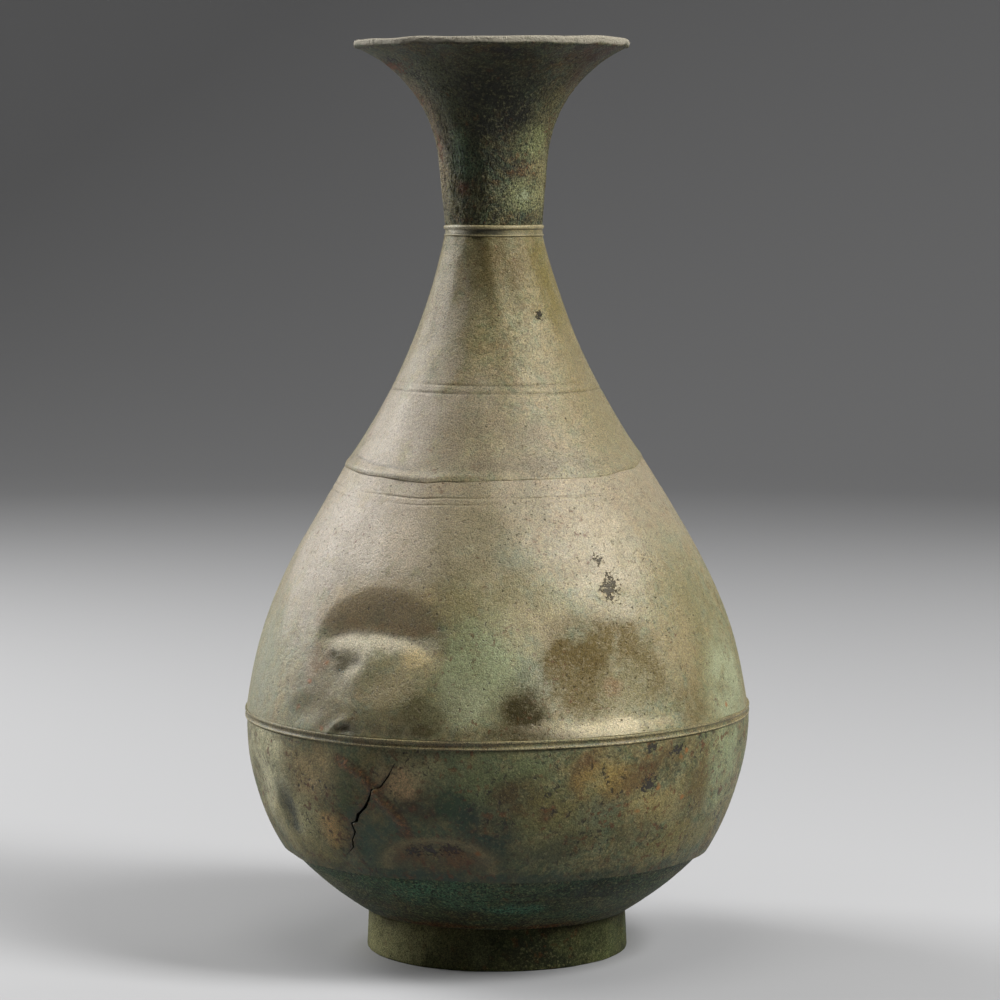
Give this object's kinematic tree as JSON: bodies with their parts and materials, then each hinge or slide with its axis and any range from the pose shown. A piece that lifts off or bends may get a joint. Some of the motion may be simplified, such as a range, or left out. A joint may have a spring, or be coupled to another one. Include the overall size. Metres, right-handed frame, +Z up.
{
  "type": "bronze bottle",
  "caption": "Pear-shaped bottle of soldered sheet bronze with a trumpet mouth, long conical neck, banded belly seam, sharp lower turn and a separate foot ring.",
  "frame": {"origin": "centre of the foot ring's resting face, on the bottle's axis", "axes": "+Z up along the bottle's axis to the mouth; the front in the picture faces -Y and +X is on the viewer's right"},
  "size_m": [0.1902, 0.1902, 0.34],
  "materials": {
    "bronze": "old patina, satin",
    "solder": "dull grey"
  },
  "bodies": {
    "root": {"mouth": "bronze", "collar_band": "bronze", "neck_cone": "bronze", "shoulder": "bronze", "girth_band": "bronze", "lower_body": "bronze", "base_dish": "bronze", "foot_ring": "bronze", "neck_solder": "solder", "shoulder_solder": "solder", "girth_solder": "solder", "base_solder": "solder", "foot_solder": "solder"}
  },
  "joints": []
}
